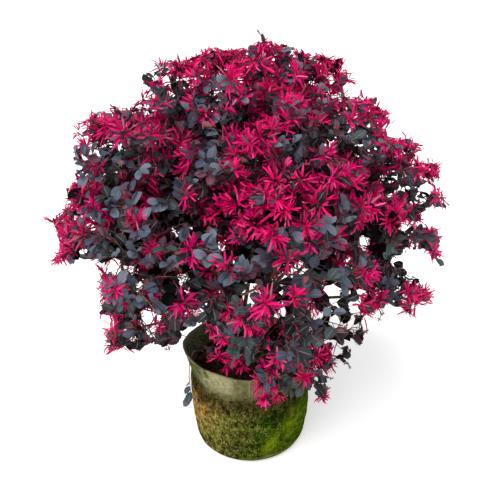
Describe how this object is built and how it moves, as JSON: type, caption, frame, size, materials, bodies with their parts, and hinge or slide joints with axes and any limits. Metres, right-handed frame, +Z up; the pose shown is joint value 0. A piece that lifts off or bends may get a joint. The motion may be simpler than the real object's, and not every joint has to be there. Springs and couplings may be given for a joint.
{
  "type": "chinese fringe flower shrub in a grow bag",
  "caption": "Potted flowering shrub: a rounded crown of small dark leaves and crimson fringe flowers on a short leaning trunk, in a soft felt grow bag of soil.",
  "frame": {"origin": "middle of the grow bag's flat underside", "axes": "+Z up along the bag's axis, -Y towards the pictured front, +X to its right"},
  "size_m": [0.7547, 0.6888, 0.8053],
  "materials": {
    "felt": "rough mossy felt",
    "soil": "crumbly and dull",
    "bark": "matte bark",
    "foliage": "soft satin leaf",
    "blossom": "matte petal"
  },
  "bodies": {
    "root": {"bough_lower_1": "bark", "bough_lower_2": "bark", "bough_lower_3": "bark", "bough_lower_4": "bark", "bough_lower_5": "bark", "bough_middle_1": "bark", "bough_middle_2": "bark", "bough_middle_3": "bark", "bough_middle_4": "bark", "bough_middle_5": "bark", "bough_middle_6": "bark", "bough_middle_7": "bark", "bough_rim_spray_1": "bark", "bough_top_1": "bark", "bough_upper_1": "bark", "bough_upper_2": "bark", "bough_upper_3": "bark", "bough_upper_4": "bark", "bough_upper_5": "bark", "bough_weeping_1": "bark", "bough_weeping_2": "bark", "bough_weeping_3": "bark", "bough_weeping_4": "bark", "grow_bag": "felt", "mass_lower_1": "foliage", "mass_lower_2": "foliage", "mass_lower_3": "foliage", "mass_lower_4": "foliage", "mass_lower_5": "foliage", "mass_middle_1": "foliage", "mass_middle_2": "foliage", "mass_middle_3": "foliage", "mass_middle_4": "foliage", "mass_middle_5": "foliage", "mass_middle_6": "foliage", "mass_middle_7": "foliage", "mass_rim_spray_1": "foliage", "mass_top_1": "foliage", "mass_upper_1": "foliage", "mass_upper_2": "foliage", "mass_upper_3": "foliage", "mass_upper_4": "foliage", "mass_upper_5": "foliage", "mass_weeping_1": "foliage", "mass_weeping_2": "foliage", "mass_weeping_3": "foliage", "mass_weeping_4": "foliage", "soil": "soil", "trunk": "bark"}
  },
  "joints": []
}
